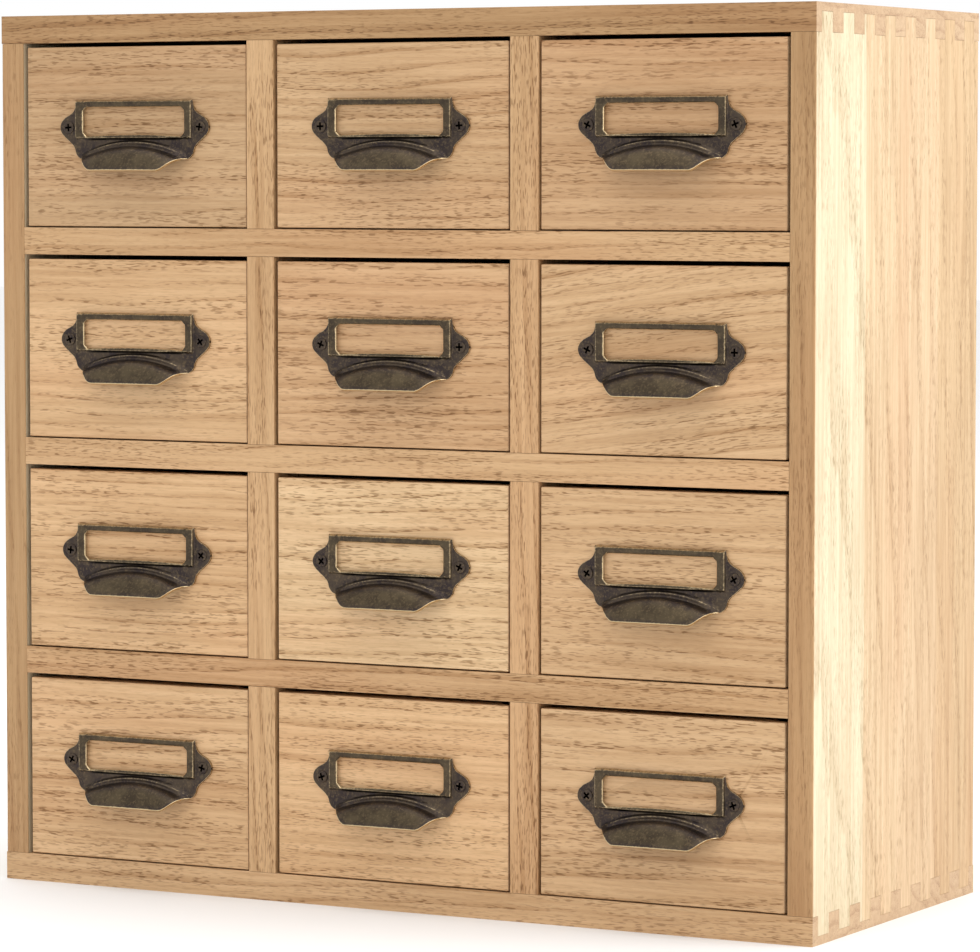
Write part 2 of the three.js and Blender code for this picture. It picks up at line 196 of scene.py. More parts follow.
class Shader:
    """A material whose nodes are added by short calls, each of which gives back a socket."""

    def __init__(self, name):
        self.material = bpy.data.materials.new(name)
        self.material.use_nodes = True
        self.tree = self.material.node_tree
        self.surface = self.tree.nodes["Principled BSDF"]

    def feed(self, socket, value):
        if isinstance(value, bpy.types.NodeSocket):
            self.tree.links.new(value, socket)
        elif isinstance(value, tuple) and socket.type == "RGBA":
            socket.default_value = (*value, 1.0)
        else:
            socket.default_value = value

    def object_coordinates(self):
        return self.tree.nodes.new("ShaderNodeTexCoord").outputs["Object"]

    def math(self, operation, a, b=0.0, clamp=False):
        node = self.tree.nodes.new("ShaderNodeMath")
        node.operation = operation
        node.use_clamp = clamp
        self.feed(node.inputs[0], a)
        self.feed(node.inputs[1], b)
        return node.outputs[0]

    def vector_math(self, operation, a, b, output="Vector"):
        node = self.tree.nodes.new("ShaderNodeVectorMath")
        node.operation = operation
        self.feed(node.inputs[0], a)
        self.feed(node.inputs[1], b)
        return node.outputs[output]

    def split(self, vector):
        node = self.tree.nodes.new("ShaderNodeSeparateXYZ")
        self.feed(node.inputs[0], vector)
        return list(node.outputs)

    def join(self, x, y, z):
        node = self.tree.nodes.new("ShaderNodeCombineXYZ")
        for socket, value in zip(node.inputs, (x, y, z)):
            self.feed(socket, value)
        return node.outputs[0]

    def noise(self, vector, scale, detail=2.0, roughness=0.5):
        node = self.tree.nodes.new("ShaderNodeTexNoise")
        self.feed(node.inputs["Vector"], vector)
        node.inputs["Scale"].default_value = scale
        node.inputs["Detail"].default_value = detail
        node.inputs["Roughness"].default_value = roughness
        return node.outputs["Fac"]

    def ramp(self, value, low, high, to_low=0.0, to_high=1.0):
        node = self.tree.nodes.new("ShaderNodeMapRange")
        node.interpolation_type = "SMOOTHSTEP"
        self.feed(node.inputs["Value"], value)
        node.inputs["From Min"].default_value = low
        node.inputs["From Max"].default_value = high
        node.inputs["To Min"].default_value = to_low
        node.inputs["To Max"].default_value = to_high
        return node.outputs["Result"]

    def mix(self, factor, a, b, blend="MIX"):
        node = self.tree.nodes.new("ShaderNodeMix")
        node.data_type = "RGBA"
        node.blend_type = blend
        self.feed(node.inputs["Factor"], factor)
        self.feed(node.inputs[6], a)
        self.feed(node.inputs[7], b)
        return node.outputs[2]

    def attribute(self, name):
        node = self.tree.nodes.new("ShaderNodeAttribute")
        node.attribute_name = name
        return node.outputs["Fac"]

    def colour(self, value):
        self.feed(self.surface.inputs["Base Color"], value)

    def rough(self, value):
        self.feed(self.surface.inputs["Roughness"], value)

    def relief(self, height, depth):
        node = self.tree.nodes.new("ShaderNodeBump")
        node.inputs["Distance"].default_value = depth
        node.inputs["Strength"].default_value = 1.0
        self.feed(node.inputs["Height"], height)
        self.tree.links.new(node.outputs["Normal"], self.surface.inputs["Normal"])


def across(shader, parts, along, sideways):
    """Coordinates stretched along the grain: (along, sideways, sideways) features per metre."""
    u, v, w = parts
    return shader.join(
        shader.math("MULTIPLY", u, along),
        shader.math("MULTIPLY", v, sideways),
        shader.math("MULTIPLY", w, sideways),
    )


GRAIN_ORDER = {"x": (0, 1, 2), "y": (1, 0, 2), "z": (2, 0, 1)}
WOOD_TRAITS = {
    "spacing": 7 * MM,
    "pith": (0.10, 0.03),
    "lean": 0.05,
    "tilt": 0.0,
    "lines": 0.62,
    "streaks": 0.6,
    "patches": 0.45,
    "pores": 0.85,
    "blush": 0.25,
}
RING_SWAY = 0.02
RING_RIPPLE = 0.7
BASE_DEPTH = 0.30
LIGHT_GAIN = (1.10, 1.13, 1.16)
DARK_GAIN = (0.76, 0.69, 0.60)
BLUSH_GAIN = (1.02, 0.86, 0.80)
FIBRE_GAIN = (0.82, 0.74, 0.64)
PORE_GAIN = (0.40, 0.32, 0.23)
END_LIGHT = (0.53, 0.37, 0.225)
END_DARK = (0.42, 0.27, 0.155)
END_PORE = (0.25, 0.14, 0.08)


def rings_of(shader, parts, traits):
    """Where a point lies between one growth ring and the next, from 0 to 1."""
    pith_up, pith_out = traits["pith"]
    wander = shader.noise(across(shader, parts, 5, 14), 1.0, 2.0)
    sway = shader.math("MULTIPLY", shader.math("SUBTRACT", wander, 0.5), RING_SWAY)
    out = shader.math("ADD", shader.math("ADD", parts[1], pith_up), sway)
    slope = shader.math("MULTIPLY", parts[0], traits["lean"])
    back = shader.math("ADD", shader.math("ADD", parts[2], pith_out), slope)
    radius = shader.vector_math("LENGTH", shader.join(0.0, out, back), (0, 0, 0), "Value")
    ripple = shader.math("MULTIPLY", shader.noise(across(shader, parts, 16, 90), 1.0, 2.0), RING_RIPPLE)
    turns = shader.math("DIVIDE", radius, traits["spacing"])
    return shader.math("FRACT", shader.math("ADD", turns, ripple))


def ring_line(shader, parts, ring):
    """The dark start of each growth ring, strong in some stretches and faint in others."""
    line = shader.math("MULTIPLY", shader.ramp(ring, 0.0, 0.05), shader.ramp(ring, 0.42, 0.05))
    presence = shader.noise(across(shader, parts, 9, 60), 1.0, 1.0)
    return shader.math("MULTIPLY", line, shader.ramp(presence, 0.3, 0.65, 0.25, 1.0))


def open_pores(shader, parts, line):
    """Short dark dashes along the grain, crowded at the ring lines and in loose clusters."""
    vessel = shader.ramp(shader.noise(across(shader, parts, 210, 1750), 1.0, 1.5), 0.52, 0.64)
    cluster = shader.noise(across(shader, parts, 12, 110), 1.0, 2.0)
    cluster = shader.ramp(cluster, 0.40, 0.62, 0.15, 0.75)
    crowd = shader.math("ADD", shader.math("MULTIPLY", line, 0.7), cluster, clamp=True)
    return shader.math("MULTIPLY", vessel, crowd)


def grain_depth(shader, parts, line, traits):
    """How dark the wood is between its lightest and darkest, without its pores."""
    broad = shader.noise(across(shader, parts, 5, 24), 1.0, 2.0)
    broad = shader.ramp(broad, 0.3, 0.7, -0.5, 0.5)
    streak = shader.noise(across(shader, parts, 10, 420), 1.0, 3.0, 0.6)
    streak = shader.ramp(streak, 0.28, 0.72, -0.5, 0.5)
    depth = shader.math("ADD", shader.math("MULTIPLY", line, traits["lines"]), BASE_DEPTH)
    depth = shader.math("ADD", depth, shader.math("MULTIPLY", broad, traits["patches"]))
    return shader.math("ADD", depth, shader.math("MULTIPLY", streak, traits["streaks"]), clamp=True)


def grained(shader, parts, body, depth, fibre, pore, traits):
    """The body colour darkened by the grain, warmed in patches and marked by fibres and pores."""
    light = shader.mix(1.0, body, LIGHT_GAIN, "MULTIPLY")
    dark = shader.mix(1.0, body, DARK_GAIN, "MULTIPLY")
    ground = shader.mix(depth, light, dark)
    warmth = shader.noise(across(shader, parts, 5, 34), 1.0, 1.0)
    warmth = shader.ramp(warmth, 0.45, 0.7, 0.0, traits["blush"])
    ground = shader.mix(warmth, ground, BLUSH_GAIN, "MULTIPLY")
    ground = shader.mix(shader.ramp(fibre, 0.35, 0.7, 0.0, 0.3), ground, FIBRE_GAIN, "MULTIPLY")
    return shader.mix(shader.math("MULTIPLY", pore, traits["pores"]), ground, PORE_GAIN, "MULTIPLY")


def facing(shader, axis, low, high):
    """1 where a surface faces along an axis and 0 where it lies along it."""
    normal = shader.tree.nodes.new("ShaderNodeTexCoord").outputs["Normal"]
    share = shader.math("ABSOLUTE", shader.split(normal)[GRAIN_ORDER[axis][0]])
    return shader.ramp(share, low, high)


def stave_tint(shader, depth, staves, edge):
    """The tint of a board glued up of staves that lie one behind another. Its front edge is apart. The
    stave tints are paler and lighter than the fronts' wood, a painted highlight of the strong side light.
    """
    tint = edge
    for start, colour in staves:
        tint = shader.mix(shader.ramp(depth, start - 0.2 * MM, start + 0.2 * MM), tint, colour)
    return tint


def wood(name, axis, seed, body, **habit):
    """Oiled ring-porous wood whose grain runs along an axis of the model."""
    traits = {**WOOD_TRAITS, **habit}
    draw = random.Random(seed)
    shader = Shader(name)
    found = shader.split(shader.object_coordinates())
    along, out, up = (found[index] for index in GRAIN_ORDER[axis])
    up = shader.math("ADD", up, shader.math("MULTIPLY", along, -traits["tilt"]))
    ring = rings_of(shader, (along, up, out), traits)
    parts = [shader.math("ADD", part, draw.uniform(-3, 3)) for part in (along, out, up)]
    line = ring_line(shader, parts, ring)
    fibre = shader.noise(across(shader, parts, 60, 1500), 1.0, 2.0, 0.6)
    pore = open_pores(shader, parts, line)
    depth = grain_depth(shader, parts, line, traits)
    if "staves" in traits:
        body = stave_tint(shader, found[1], traits["staves"], body)
    ground = grained(shader, parts, body, depth, fibre, pore, traits)
    end_grain = shader.mix(depth, END_LIGHT, END_DARK)
    end_grain = shader.mix(shader.math("MULTIPLY", pore, 0.5), end_grain, END_PORE)
    shader.colour(shader.mix(facing(shader, axis, 0.6, 0.85), ground, end_grain))
    dry = shader.ramp(fibre, 0.2, 0.8, 0.46, 0.58)
    shader.rough(shader.math("ADD", dry, shader.math("MULTIPLY", pore, 0.2)))
    shader.surface.inputs["Specular IOR Level"].default_value = 0.35
    shader.relief(shader.math("SUBTRACT", shader.math("MULTIPLY", fibre, 0.25), pore), 0.05 * MM)
    return shader.material


def plywood(name, through, ply, seed):
    """Rotary-cut veneer on the faces and thin plies on the edges. The thickness runs along an axis."""
    draw = random.Random(seed)
    shader = Shader(name)
    found = shader.split(shader.object_coordinates())
    thick, along, sideways = (found[i] for i in GRAIN_ORDER[through])
    along = shader.math("ADD", along, draw.uniform(-3, 3))
    sideways = shader.math("ADD", sideways, draw.uniform(-3, 3))
    swirl = shader.noise(across(shader, (along, sideways, 0.0), 4, 15), 1.0, 2.0)
    contour = shader.math("FRACT", shader.math("MULTIPLY", swirl, 9))
    line = shader.math("MULTIPLY", shader.ramp(contour, 0.0, 0.15), shader.ramp(contour, 0.7, 0.15))
    fibre = shader.noise(across(shader, (along, sideways, 0.0), 45, 900), 1.0, 3.0, 0.6)
    depth = shader.math("ADD", shader.math("MULTIPLY", line, 0.45), shader.ramp(fibre, 0.3, 0.7, 0.0, 0.4))
    veneer = shader.mix(depth, (0.66, 0.47, 0.27), (0.50, 0.32, 0.165))
    layer = shader.math("FRACT", shader.math("DIVIDE", thick, 2 * ply))
    crossed = shader.math("MULTIPLY", shader.ramp(layer, 0.0, 0.06), shader.ramp(layer, 0.56, 0.5))
    edge = shader.mix(crossed, (0.60, 0.42, 0.24), (0.38, 0.23, 0.115))
    shader.colour(shader.mix(facing(shader, through, 0.5, 0.8), edge, veneer))
    shader.rough(shader.ramp(fibre, 0.2, 0.8, 0.52, 0.66))
    shader.surface.inputs["Specular IOR Level"].default_value = 0.3
    shader.relief(shader.math("SUBTRACT", fibre, shader.math("MULTIPLY", line, 0.5)), 0.03 * MM)
    return shader.material


def brass(name, seed):
    """Darkened brass. A per-point attribute bares it above 0, and below 0 darkens it as painted shade in
    grooves and recesses.
    """
    draw = random.Random(seed)
    shader = Shader(name)
    shift = tuple(draw.uniform(-2, 2) for _ in range(3))
    here = shader.vector_math("ADD", shader.object_coordinates(), shift)
    cloud = shader.noise(here, 150.0, 4.0, 0.6)
    speck = shader.noise(here, 900.0, 3.0, 0.7)
    dark = shader.mix(shader.ramp(cloud, 0.35, 0.65), (0.046, 0.036, 0.035), (0.082, 0.062, 0.046))
    olive = shader.mix(shader.ramp(cloud, 0.3, 0.7), (0.060, 0.045, 0.030), (0.102, 0.078, 0.047))
    patina = shader.mix(shader.attribute("face"), dark, olive)
    flecked = shader.mix(shader.ramp(speck, 0.50, 0.66, 0.0, 0.55), patina, (0.165, 0.12, 0.07))
    wear_and_shade = shader.attribute("wear_and_shade")
    scuffed = shader.math("ADD", wear_and_shade, shader.ramp(speck, 0.3, 0.7, -0.10, 0.08))
    bare = shader.ramp(scuffed, 0.3, 0.8)
    # Painted shade: below 0 the colour is darkened, in the groove under the frame and in the screws' cross
    # recesses.
    painted_shade = shader.ramp(wear_and_shade, -1.0, -0.1, 0.02, 1.0)
    metal = shader.mix(bare, flecked, (0.66, 0.51, 0.30))
    shader.colour(shader.mix(1.0, metal, shader.join(painted_shade, painted_shade, painted_shade), "MULTIPLY"))
    shader.rough(shader.ramp(bare, 0.0, 1.0, 0.42, 0.32))
    shader.surface.inputs["Metallic"].default_value = 1.0
    shader.relief(shader.math("ADD", cloud, speck), 0.03 * MM)
    return shader.material


def steel(name):
    shader = Shader(name)
    smear = shader.noise(shader.object_coordinates(), 700.0, 3.0, 0.6)
    shader.colour(shader.mix(shader.ramp(smear, 0.3, 0.7), (0.36, 0.35, 0.33), (0.52, 0.50, 0.47)))
    shader.rough(shader.ramp(smear, 0.2, 0.8, 0.3, 0.5))
    shader.surface.inputs["Metallic"].default_value = 1.0
    shader.relief(smear, 0.01 * MM)
    return shader.material


# Boards

def copied_board(node):
    """A welded copy of a CAD board's mesh with its flat faces whole."""
    work = bmesh.new()
    work.from_mesh(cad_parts[node].data)
    bmesh.ops.remove_doubles(work, verts=work.verts, dist=WELD)
    bmesh.ops.dissolve_limit(work, angle_limit=FLAT_ANGLE, verts=work.verts, edges=work.edges)
    return work


def planes_of(vertex, low, high):
    return {
        (axis, end)
        for axis in range(3)
        for end, value in enumerate((low[axis], high[axis]))
        if abs(vertex.co[axis] - value) < ON_PLANE
    }


def outer_arris(low, high):
    """Picks the edges where two faces of a box meet."""
    return lambda edge: len(planes_of(edge.verts[0], low, high) & planes_of(edge.verts[1], low, high)) == 2


def front_arris(front, axis):
    """Picks the edges of a front face that run along an axis."""
    def picks(edge):
        run = edge.verts[1].co - edge.verts[0].co
        level = all(abs(v.co.y - front) < ON_PLANE for v in edge.verts)
        return level and abs(run[axis]) > 0.99 * run.length
    return picks


def ease(work, picks, width):
    edges = [edge for edge in work.edges if picks(edge)]
    bmesh.ops.bevel(
        work, geom=edges, offset=width, offset_type="OFFSET", segments=EASE_STEPS,
        profile=0.5, affect="EDGES", clamp_overlap=True,
    )


def finish_mesh(work, name):
    bmesh.ops.recalc_face_normals(work, faces=work.faces)
    mesh = bpy.data.meshes.new(name)
    work.to_mesh(mesh)
    work.free()
    return mesh


def add_piece(name, mesh, body, slot, material, *replaced):
    piece = bpy.data.objects.new(name, mesh)
    bpy.context.scene.collection.objects.link(piece)
    mesh.materials.clear()
    mesh.materials.append(material)
    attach(piece, body)
    if replaced:
        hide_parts(*replaced)


def case_boards():
    low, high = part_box("left_side")
    whole_low = Vector((low.x, low.y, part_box("bottom_board")[0].z))
    whole_high = Vector((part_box("right_side")[1].x, high.y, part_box("top_board")[1].z))
    outer = outer_arris(whole_low, whole_high)
    boards = {
        "top_board": ("x", 0, outer), "bottom_board": ("x", 0, outer),
        "left_side": ("z", 2, outer), "right_side": ("z", 2, outer),
        "shelf_1": ("x", 0, None), "shelf_2": ("x", 0, None), "shelf_3": ("x", 0, None),
        "divider_1": ("z", 2, None), "divider_2": ("z", 2, None),
    }
    for node, (grain, axis, picks_outer) in boards.items():
        work = copied_board(node)
        if picks_outer:
            inner = front_arris(low.y, axis)
            ease(work, lambda e: inner(e) and not picks_outer(e), INNER_EASE)
            ease(work, picks_outer, CASE_EASE)
        else:
            ease(work, front_arris(low.y, axis), INNER_EASE)
        mesh = finish_mesh(work, f"{node}_eased")
        add_piece(f"{node}_eased", mesh, "case", "case_wood", CASE_WOODS[node], node)


def drawer_fronts():
    for place in PLACES:
        node = f"drawer_front_{place}"
        work = copied_board(node)
        ease(work, outer_arris(*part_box(node)), FRONT_EASE)
        mesh = finish_mesh(work, f"{node}_eased")
        add_piece(f"{node}_eased", mesh, f"drawer_{place}", "drawer_front_wood", FRONT_WOODS[place], node)


def slice_off(work, x, keep):
    """Cuts away all that lies beyond x, to the right where keep is 1 and to the left where it is -1."""
    parts = list(work.verts) + list(work.edges) + list(work.faces)
    bmesh.ops.bisect_plane(
        work, geom=parts, dist=ON_PLANE / 10, plane_co=(x, 0, 0), plane_no=(keep, 0, 0), clear_outer=True,
    )
    level = [face for face in work.faces if all(abs(v.co.x - x) < ON_PLANE for v in face.verts)]
    bmesh.ops.delete(work, geom=level, context="FACES_ONLY")
    bmesh.ops.delete(work, geom=[edge for edge in work.edges if edge.is_wire], context="EDGES")
    rim = [edge for edge in work.edges if edge.is_boundary]
    bmesh.ops.triangle_fill(work, use_beauty=True, edges=rim)


def box_boards():
    """Each drawer box as the three boards it is made of: two sides and a back."""
    for place in PLACES:
        node = f"drawer_box_{place}"
        low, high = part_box(node)
        inner_low, inner_high = low.x + BOX_WALL, high.x - BOX_WALL
        boards = {
            "left": ("y", ((inner_low, 1),)),
            "right": ("y", ((inner_high, -1),)),
            "rear": ("x", ((inner_low, -1), (inner_high, 1))),
        }
        for board, (grain, cuts) in boards.items():
            work = copied_board(node)
            for x, keep in cuts:
                slice_off(work, x, keep)
            name = f"box_{board}_{place}"
            mesh = finish_mesh(work, name)
            add_piece(name, mesh, f"drawer_{place}", "drawer_box_wood", BOX_WOODS[grain], node)


def brad_mesh(places, outward):
    """Small round heads at some places, all facing along one direction."""
    work = bmesh.new()
    turn = Vector((0, 0, 1)).rotation_difference(Vector(outward)).to_matrix().to_4x4()
    for place in places:
        bmesh.ops.create_cone(
            work, cap_ends=True, segments=20, radius1=BRAD_RADIUS, radius2=BRAD_RADIUS * 0.7,
            depth=BRAD_DEPTH, matrix=Matrix.Translation(place) @ turn,
        )
    return finish_mesh(work, "brads")


def box_brads():
    """Two brads through each box side into the drawer front."""
    for place in PLACES:
        low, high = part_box(f"drawer_box_{place}")
        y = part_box(f"drawer_front_{place}")[1].y - LAP_DEPTH / 2
        for hand, x in ((-1, low.x), (1, high.x)):
            sunk = x - hand * (BRAD_DEPTH / 2 - BRAD_PROUD)
            spots = [Vector((sunk, y, lerp(low.z, high.z, share))) for share in (0.2, 0.8)]
            side = "right" if hand > 0 else "left"
            name = f"front_brads_{place}_{side}"
            add_piece(name, brad_mesh(spots, (hand, 0, 0)), f"drawer_{place}", None, STEEL)


def back_brad_places(low, high):
    """Evenly spaced places round the edge of the back panel."""
    left, right = low.x + BRAD_INSET, high.x - BRAD_INSET
    bottom, top = low.z + BRAD_INSET, high.z - BRAD_INSET
    xs = [lerp(left, right, index / BRAD_GAPS_ACROSS) for index in range(BRAD_GAPS_ACROSS + 1)]
    zs = [lerp(bottom, top, index / BRAD_GAPS_UP) for index in range(1, BRAD_GAPS_UP)]
    level = [(x, z) for x in xs for z in (bottom, top)]
    upright = [(x, z) for z in zs for x in (left, right)]
    return level + upright


def panel_holes(places, back):
    """One mesh of short cylinders, centred on the panel's back face."""
    work = bmesh.new()
    lie_down = Matrix.Rotation(math.pi / 2, 4, "X")
    for x, z in places:
        bmesh.ops.create_cone(
            work, cap_ends=True, segments=20, radius1=BRAD_RADIUS * 1.25, radius2=BRAD_RADIUS * 1.25,
            depth=BRAD_HOLE_DEPTH, matrix=Matrix.Translation((x, back, z)) @ lie_down,
        )
    return finish_mesh(work, "holes")


def bored(mesh, cutter_mesh):
    """A mesh with another mesh cut out of it."""
    panel = bpy.data.objects.new("panel", mesh)
    cutter = bpy.data.objects.new("cutter", cutter_mesh)
    for item in (panel, cutter):
        bpy.context.scene.collection.objects.link(item)
    holes = panel.modifiers.new("holes", "BOOLEAN")
    holes.operation = "DIFFERENCE"
    holes.object = cutter
    graph = bpy.context.evaluated_depsgraph_get()
    made = bpy.data.meshes.new_from_object(panel.evaluated_get(graph), depsgraph=graph)
    for item in (panel, cutter):
        bpy.data.objects.remove(item)
    return made


def back_panel():
    """The panel with a sunk hole for each brad, and the brads just below its face."""
    low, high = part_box("back_panel")
    places = back_brad_places(low, high)
    work = copied_board("back_panel")
    ease(work, outer_arris(low, high), INNER_EASE)
    mesh = bored(finish_mesh(work, "panel"), panel_holes(places, high.y))
    add_piece("back_panel_sunk", mesh, "case", "plywood", BACK_PLY, "back_panel")
    depth = high.y - BRAD_SUNK - BRAD_DEPTH / 2
    spots = [Vector((x, depth, z)) for x, z in places]
    add_piece("back_brads", brad_mesh(spots, (0, 1, 0)), "case", None, STEEL)


# Pull

LIP_FOOT = RIDGE_CROWN - LIP_FOOT_DROP


def step(low, high, value):
    share = min(1.0, max(0.0, (value - low) / (high - low)))
    return share * share * (3 - 2 * share)


def lerp(a, b, share):
    return a + (b - a) * share


def bezier(points, share):
    while len(points) > 1:
        points = [(lerp(a[0], b[0], share), lerp(a[1], b[1], share)) for a, b in zip(points, points[1:])]
    return points[0]


def flank_curves():
    """The right upper and lower flanks of the outline as lists of points from the lug's tip inwards."""
    lug_x = LUG_CENTRE + LUG_RADIUS * math.cos(LUG_SWEEP)
    lug_z = LUG_RADIUS * math.sin(LUG_SWEEP)
    arc = [LUG_SWEEP * share / 8 for share in range(9)]
    tip = [(LUG_CENTRE + LUG_RADIUS * math.cos(a), LUG_RADIUS * math.sin(a)) for a in arc]
    rise = [
        (lug_x, lug_z), (lug_x - FLARE, lug_z + FLARE),
        (FRAME_HALF, FLARE_TOP), (FRAME_HALF, FRAME_TOP),
    ]
    upper = tip + [bezier(rise, share / 16) for share in range(1, 17)]
    spread = FRAME_HALF + SHOULDER_SPREAD
    fall = [
        (lug_x, -lug_z), (lug_x - FLARE, -lug_z - FLARE),
        (spread, SHOULDER + FLARE), (spread, SHOULDER),
    ]
    foot = [(spread, SHOULDER), (spread - 0.8, LIP_FOOT + 0.8), (CUP_HALF, LIP_FOOT)]
    lower = [(x, -z) for x, z in tip] + [bezier(fall, share / 14) for share in range(1, 15)]
    lower += [bezier(foot, share / 8) for share in range(1, 9)]
    return upper, lower


def along_curve(points, x):
    """The height of a curve at x, where its points run from the largest x to the smallest."""
    for (x1, z1), (x0, z0) in zip(points, points[1:]):
        if x >= x0 and x1 > x0:
            return lerp(z0, z1, min(1.0, (x - x0) / (x1 - x0)))
    return points[-1][1]


UPPER_FLANK, LOWER_FLANK = flank_curves()
RIDGE_RADIUS = (CUP_HALF ** 2 + RIDGE_DROP ** 2) / (2 * RIDGE_DROP)


def ridge_line(x):
    return RIDGE_CROWN - RIDGE_RADIUS + math.sqrt(max(0.0, RIDGE_RADIUS ** 2 - x * x))


def lip_share(x):
    return min(1.0, max(0.0, (abs(x) - LIP_HALF) / (CUP_HALF - LIP_HALF)))


def lip_bow(x):
    """How much of its reach the lip still has at x: all of it in the middle, none at its ends."""
    return max(0.0, math.cos(math.pi / 2 * lip_share(x))) ** LIP_FULLNESS


def top_line(x):
    return FRAME_TOP if abs(x) <= FRAME_HALF else along_curve(UPPER_FLANK, abs(x))


def bottom_line(x):
    if abs(x) >= CUP_HALF:
        return along_curve(LOWER_FLANK, abs(x))
    return RIDGE_CROWN - LIP_DROP + (LIP_DROP - LIP_FOOT_DROP) * step(0.0, LIP_LEVEL_END, lip_share(x))


def window_edge(x, level, inwards):
    """The window's lower or upper edge at x. Its corners are clipped."""
    clip = max(0.0, abs(x) - (WINDOW_HALF - WINDOW_CLIP))
    if abs(x) > WINDOW_HALF:
        clip = WINDOW_CLIP * (1 - step(WINDOW_HALF, FRAME_HALF, abs(x)))
    return level + inwards * clip


def levels(x):
    """The heights of the mesh's main lines at x, from the lower edge up."""
    top, bottom = top_line(x), bottom_line(x)
    arch = WINDOW_ARCH * max(0.0, 1 - (x / WINDOW_HALF) ** 2)
    inside = [
        bottom,
        max(ridge_line(x) - VALLEY, lerp(bottom, ridge_line(x), 0.4)),
        ridge_line(x),
        FRAME_BOTTOM - UNDER_FRAME,
        window_edge(x, WINDOW_BOTTOM + arch, 1),
        window_edge(x, WINDOW_TOP, -1),
        top,
    ]
    shares = [0.0, 0.12, 0.24, 0.36, 0.48, 0.86, 1.0]
    outside = [lerp(bottom, top, share) for share in shares]
    blend = step(BLEND_FROM, BLEND_TO, abs(x))
    mixed = [lerp(a, b, blend) for a, b in zip(inside, outside)]
    if abs(x) <= WINDOW_HALF:
        mixed[4], mixed[5] = inside[4], inside[5]
    for index in range(1, len(mixed)):
        mixed[index] = max(mixed[index], mixed[index - 1] + LEAST_RISE)
    return mixed


def stations():
    """Where the mesh's columns stand, closer together where the outline turns."""
    half = [index * 1.05 for index in range(17)]
    half += [LIP_HALF + 0.6 + index * 0.8 for index in range(10)]
    half += [25.1, 25.6, 26.0, WINDOW_HALF, 26.8, 27.2, CUP_HALF, 28.0, 28.4, 28.8, 29.2, 29.6, 30.0, 30.3]
    half += [FRAME_HALF, 30.7, 31.0, 31.5, 32.0, 32.7, 33.4, 34.2, 35.0, 35.8]
    half += [36.5, 37.1, 37.6, 38.0, 38.35, 38.6, 38.75]
    ordered = sorted(set(round(x, 3) for x in half))
    return [-x for x in reversed(ordered[1:])] + ordered


def from_window(x, z):
    """How far a point is outside the window's edge, its clipped corners counted."""
    arch = WINDOW_ARCH * max(0.0, 1 - (x / WINDOW_HALF) ** 2)
    beside = abs(x) - WINDOW_HALF
    beyond = max(z - WINDOW_TOP, WINDOW_BOTTOM + arch - z)
    return max(beside, beyond, (beside + beyond + WINDOW_CLIP) / math.sqrt(2))


def outer_height(x, z):
    """How far the sheet's outer skin stands out at a point."""
    height = SHEET + STAND_OFF
    inside_frame = min(FRAME_HALF - abs(x), FRAME_TOP - z, z - FRAME_BOTTOM)
    raised = (FRAME_HEIGHT - height) * step(-0.15, FRAME_FILLET, inside_frame)
    raised *= lerp(0.45, 1.0, step(0.0, WINDOW_ROUND, from_window(x, z)))
    height += raised
    if abs(x) >= CUP_HALF:
        return height
    fullness = lip_bow(x)
    from_ridge = z - ridge_line(x)
    outside_frame = 1 - step(-0.15, 0.4, inside_frame)
    crest = (RIDGE_HEIGHT - SHEET) * min(1.0, 0.3 + fullness) * outside_frame
    if from_ridge >= 0:
        slope = lerp(0.9, 1.5, abs(x) / CUP_HALF)
        return height + crest * (1 - step(0.0, slope, from_ridge))
    lip = bottom_line(x)
    down = min(1.0, -from_ridge / max(0.05, ridge_line(x) - lip))
    lip_height = SHEET + STAND_OFF + (LIP_REACH - SHEET - STAND_OFF) * fullness
    face = lerp(height + crest, lip_height, down) + CUP_SWELL * fullness * math.sin(math.pi * down)
    groove = GROOVE_DEPTH * fullness * math.exp(-((-from_ridge - GROOVE_DROP) / GROOVE_SPREAD) ** 2)
    return min(face - groove, LIP_REACH)


def wear_and_shade_at(x, z):
    """How bare the brass is at edges and crests, above 0; below 0, painted shade in the groove under the
    frame.
    """
    top, bottom = top_line(x), bottom_line(x)
    border = min(top - z, z - bottom)
    wear_and_shade = 0.6 * (1 - step(0.0, 0.6, border))
    if abs(x) < CUP_HALF:
        wear_and_shade = max(wear_and_shade, 1 - step(0.1, 0.5, z - bottom))
        wear_and_shade = max(wear_and_shade, 0.5 * (1 - step(0.0, 0.5, abs(z - ridge_line(x)))))
    wear_and_shade = max(wear_and_shade, 0.85 * (1 - step(0.1, 0.7, abs(from_window(x, z)))))
    frame_edge = min(FRAME_HALF - abs(x), FRAME_TOP - z, z - FRAME_BOTTOM)
    wear_and_shade = max(wear_and_shade, 0.55 * (1 - step(0.1, 0.6, abs(frame_edge - FRAME_FILLET))))
    # Painted shade: the groove under the frame's lower bar is darkened, most in the middle.
    under_frame = FRAME_BOTTOM - z
    if abs(x) < FRAME_HALF and -0.1 < under_frame < 0.9:
        wear_and_shade = -0.9 * (1 - step(0.3, 0.9, under_frame)) * (1 - step(20.0, FRAME_HALF, abs(x)))
    return wear_and_shade


def face_at(x, z):
    """How olive the patina is: all on the cup's face, partly on the label frame, not on the flat sheet."""
    inside_frame = min(FRAME_HALF - abs(x), z - FRAME_BOTTOM)
    cup = step(0.4, 3.4, ridge_line(x) - 2.2 - z) * step(0.0, 2.5, z - bottom_line(x))
    cup *= 1 - step(LIP_HALF - 2, CUP_HALF, abs(x))
    return max(cup, 0.7 * step(0.0, 0.3, inside_frame))


